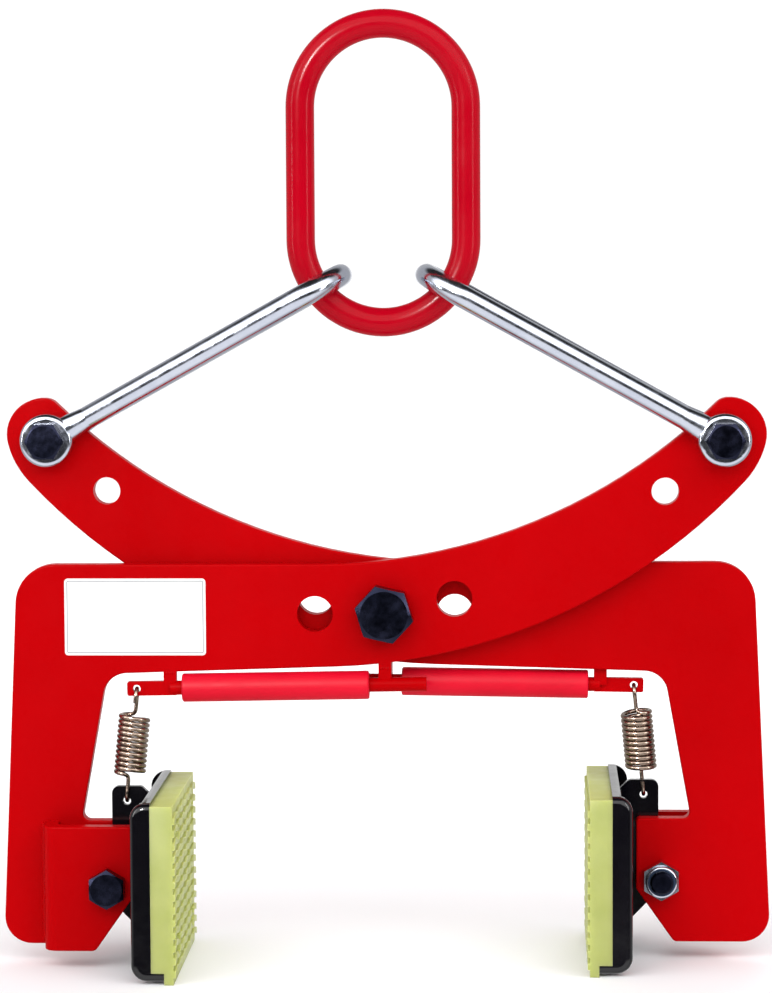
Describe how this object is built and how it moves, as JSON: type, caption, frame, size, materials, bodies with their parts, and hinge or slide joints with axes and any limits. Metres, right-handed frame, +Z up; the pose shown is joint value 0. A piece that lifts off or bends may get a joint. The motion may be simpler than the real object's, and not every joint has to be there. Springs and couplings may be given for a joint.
{
  "type": "slab lifting clamp",
  "caption": "Scissor lifting clamp: crossed arms on a pivot, a ring and shackles that close them, and sprung ribbed grip pads for slabs.",
  "frame": {"origin": "on the floor under the pivot, midway between the grip pads' outer ends, at the level of the pads' bottoms", "axes": "+X from the left jaw to the right jaw, +Y from the front arm to the rear arm, +Z up towards the ring"},
  "size_m": [0.5376, 0.18, 0.6651],
  "materials": {
    "red_paint": "gloss paint",
    "sleeve": "satin plastic tube",
    "zinc": "bright zinc plate",
    "black_oxide": "black oxide",
    "black_paint": "gloss black paint",
    "pad": "moulded polyurethane",
    "spring": "nickel plate",
    "disc": "plain"
  },
  "bodies": {
    "pivot": {"pivot_bolt": "black_oxide", "pivot_nut": "zinc", "pivot_washer": "zinc", "pivot_thrust_disc": "disc"},
    "front_arm": {"front_arm": "red_paint", "front_cheek": "red_paint", "front_stop_bar": "red_paint", "front_sleeve": "sleeve", "left_hinge_bolt": "black_oxide", "left_hinge_nut": "zinc", "left_spring": "spring"},
    "rear_arm": {"rear_arm": "red_paint", "rear_cheek": "red_paint", "rear_stop_bar": "red_paint", "rear_sleeve": "sleeve", "right_hinge_bolt": "black_oxide", "right_hinge_nut": "zinc", "right_spring": "spring"},
    "left_jaw": {"left_pad_holder": "black_paint", "left_holder_lug": "black_paint", "left_pad": "pad", "left_pad_screws": "zinc"},
    "right_jaw": {"right_pad_holder": "black_paint", "right_holder_lug": "black_paint", "right_pad": "pad", "right_pad_screws": "zinc"},
    "left_shackle": {"left_shackle": "zinc", "left_shackle_bolt": "black_oxide", "left_shackle_nut": "zinc", "left_shackle_washer": "zinc"},
    "right_shackle": {"right_shackle": "zinc", "right_shackle_bolt": "black_oxide", "right_shackle_nut": "zinc", "right_shackle_washer": "zinc"},
    "master_ring": {"master_ring": "red_paint"}
  },
  "joints": [
    {"name": "front_arm_pivot", "type": "hinge", "parent": "pivot", "child": "front_arm", "pos_m": [0, 0, 0.2466], "axis": [0, -1, 0], "range_deg": [0, 27]},
    {"name": "rear_arm_pivot", "type": "hinge", "parent": "pivot", "child": "rear_arm", "pos_m": [0, 0, 0.2466], "axis": [0, 1, 0], "range_deg": [0, 27]},
    {"name": "left_shackle_pivot", "type": "hinge", "parent": "rear_arm", "child": "left_shackle", "pos_m": [-0.2355, 0.00675, 0.3674], "axis": [0, -1, 0], "range_deg": [0, 55.9]},
    {"name": "right_shackle_pivot", "type": "hinge", "parent": "front_arm", "child": "right_shackle", "pos_m": [0.2355, -0.00675, 0.3674], "axis": [0, 1, 0], "range_deg": [0, 55.9]},
    {"name": "ring_hinge", "type": "hinge", "parent": "left_shackle", "child": "master_ring", "pos_m": [-0.03, 0, 0.48139], "axis": [0, 1, 0], "range_deg": [0, 28.9]},
    {"name": "left_pad_hinge", "type": "hinge", "parent": "front_arm", "child": "left_jaw", "pos_m": [-0.1928, -0.02075, 0.0574], "axis": [0, 1, 0], "range_deg": [0, 30], "stiffness_Nm_per_rad": 14, "springref_deg": -3.72, "deforming": ["left_spring"]},
    {"name": "right_pad_hinge", "type": "hinge", "parent": "rear_arm", "child": "right_jaw", "pos_m": [0.1928, 0.02075, 0.0574], "axis": [0, -1, 0], "range_deg": [0, 30], "stiffness_Nm_per_rad": 14, "springref_deg": -3.72, "deforming": ["right_spring"]}
  ],
  "couplings": [
    {"joint": "rear_arm_pivot", "follows": "front_arm_pivot", "ratio": 1},
    {"joint": "left_shackle_pivot", "follows": "front_arm_pivot", "ratio": 2.0675},
    {"joint": "right_shackle_pivot", "follows": "front_arm_pivot", "ratio": 2.0675},
    {"joint": "ring_hinge", "follows": "front_arm_pivot", "ratio": 1.0675}
  ]
}
